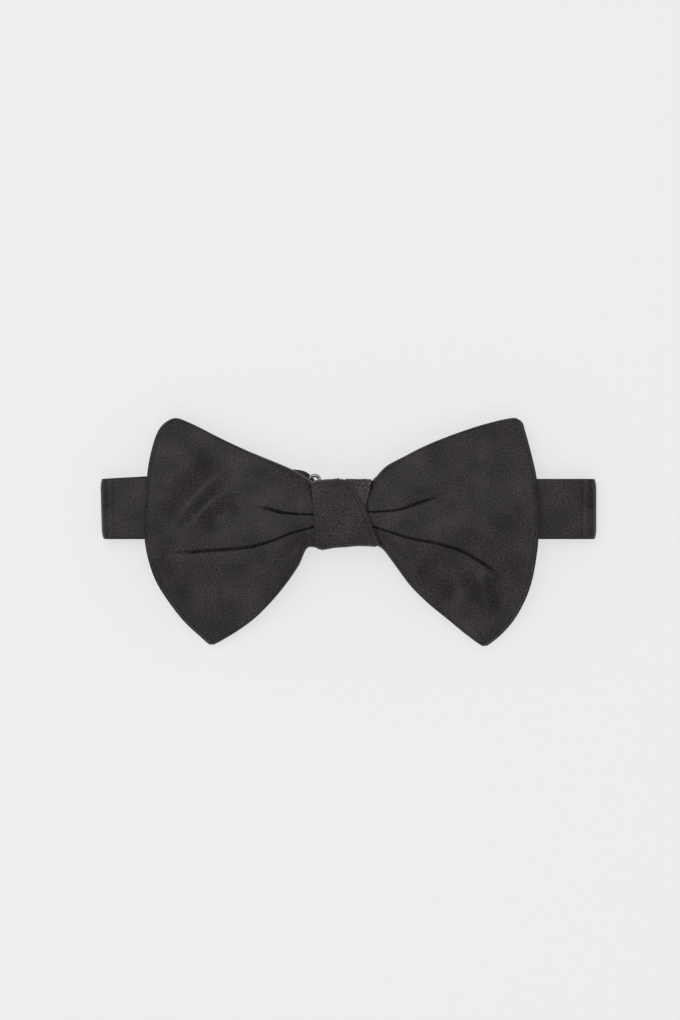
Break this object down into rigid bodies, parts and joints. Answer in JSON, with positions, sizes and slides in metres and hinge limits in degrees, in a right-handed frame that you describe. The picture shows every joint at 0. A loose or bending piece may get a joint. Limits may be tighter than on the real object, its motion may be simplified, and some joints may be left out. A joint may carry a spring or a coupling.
{
  "type": "bow tie",
  "caption": "Pre-tied satin bow tie with pointed wings, a folded knot and an adjustable neckband with a ring, a hook and a slider.",
  "frame": {"origin": "bottom centre of the whole tie as it lies on its back, neckband folded flat behind the bow", "axes": "+Z out of the front of the bow, +X along the neckband to the right as the bow is seen, +Y towards the bow's upper edge"},
  "size_m": [0.1648, 0.0755, 0.0145],
  "materials": {
    "satin": "black silk satin",
    "knot_satin": "black satin, duller side light",
    "interlining": "brushed woven interlining",
    "thread": "black sewing thread",
    "nickel": "nickel-plated steel"
  },
  "bodies": {
    "bow": {"knot_wrap": "knot_satin", "knot_under_wrap": "knot_satin", "knot_interlining": "interlining", "knot_tacking": "thread", "gathered_waist": "satin", "waist_binding": "thread", "strap_front": "satin", "strap_front_interlining": "interlining", "left_strap_fold": "satin", "right_strap_fold": "satin"},
    "left_wing": {"left_wing_front": "satin", "left_wing_interlining": "interlining", "left_wing_back": "satin"},
    "right_wing": {"right_wing_front": "satin", "right_wing_interlining": "interlining", "right_wing_back": "satin"},
    "left_rear": {"left_strap_rear": "satin", "left_rear_interlining": "interlining", "left_bar_tack": "thread"},
    "ring": {"ring": "nickel"},
    "right_rear": {"right_strap_rear": "satin", "right_running_ply": "satin"},
    "slider": {"slider_frame": "nickel", "slider_end_loop": "satin", "slider_bar_tack": "thread", "right_return_ply": "satin"},
    "hook_end": {"hook_end_loop": "satin"},
    "hook": {"hook": "nickel"}
  },
  "joints": [
    {"name": "left_wing_flex", "type": "hinge", "parent": "bow", "child": "left_wing", "pos_m": [-0.0137, 0.00775, 0.0116], "axis": [0, 1, 0], "range_deg": [0, 30]},
    {"name": "right_wing_flex", "type": "hinge", "parent": "bow", "child": "right_wing", "pos_m": [0.0111, 0.00775, 0.0116], "axis": [0, -1, 0], "range_deg": [0, 30]},
    {"name": "left_fold", "type": "hinge", "parent": "bow", "child": "left_rear", "pos_m": [-0.07872, 0.00775, 0.0034], "axis": [-0.0279, 0.9996, 0], "range_deg": [0, 180], "deforming": ["left_strap_fold"]},
    {"name": "ring_swing", "type": "hinge", "parent": "left_rear", "child": "ring", "pos_m": [-0.0125, 0.01145, 0.00155], "axis": [-0.0558, 0.9984, 0], "range_deg": [0, 30]},
    {"name": "right_fold", "type": "hinge", "parent": "bow", "child": "right_rear", "pos_m": [0.079, 0.00775, 0.0034], "axis": [0, -1, 0], "range_deg": [0, 180], "deforming": ["right_strap_fold"]},
    {"name": "slider_slide", "type": "slide", "parent": "right_rear", "child": "slider", "axis": [1, 0, 0], "range_m": [0, 0.034], "deforming": ["right_running_ply", "right_return_ply"]},
    {"name": "hook_end_slide", "type": "slide", "parent": "right_rear", "child": "hook_end", "axis": [1, 0, 0], "range_m": [0, 0.017]},
    {"name": "hook_swing", "type": "hinge", "parent": "hook_end", "child": "hook", "pos_m": [0.00375, 0.00775, 0.00155], "axis": [0, -1, 0], "range_deg": [0, 90]}
  ],
  "couplings": [
    {"joint": "hook_end_slide", "follows": "slider_slide", "ratio": 0.5}
  ]
}
